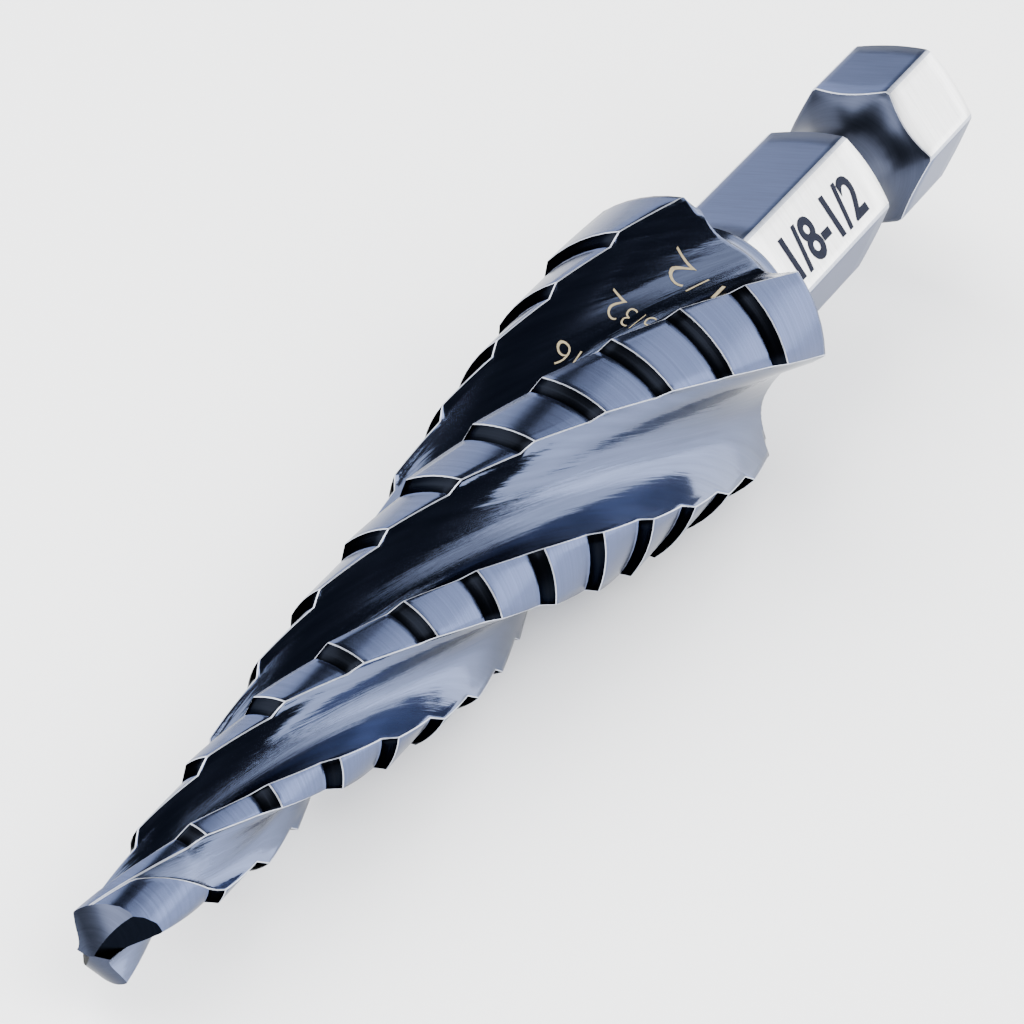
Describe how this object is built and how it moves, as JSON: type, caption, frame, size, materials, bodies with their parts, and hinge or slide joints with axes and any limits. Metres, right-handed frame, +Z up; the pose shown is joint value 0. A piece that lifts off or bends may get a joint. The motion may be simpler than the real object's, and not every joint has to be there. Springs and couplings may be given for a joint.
{
  "type": "step drill",
  "caption": "Spiral-fluted step drill for sheet metal, steps from 1/8 inch to 1/2 inch, with a 1/4 inch hexagon shank.",
  "frame": {"origin": "middle of the underside of the drill's box as it lies on a table", "axes": "+X along the drill from the point to the shank, +Y across it, +Z up; the shank end is tipped up 2.8 degrees"},
  "size_m": [0.081, 0.0122, 0.0122],
  "materials": {
    "coated_steel": "ground, blue-grey coated"
  },
  "bodies": {
    "root": {"step_drill": "coated_steel"}
  },
  "joints": []
}
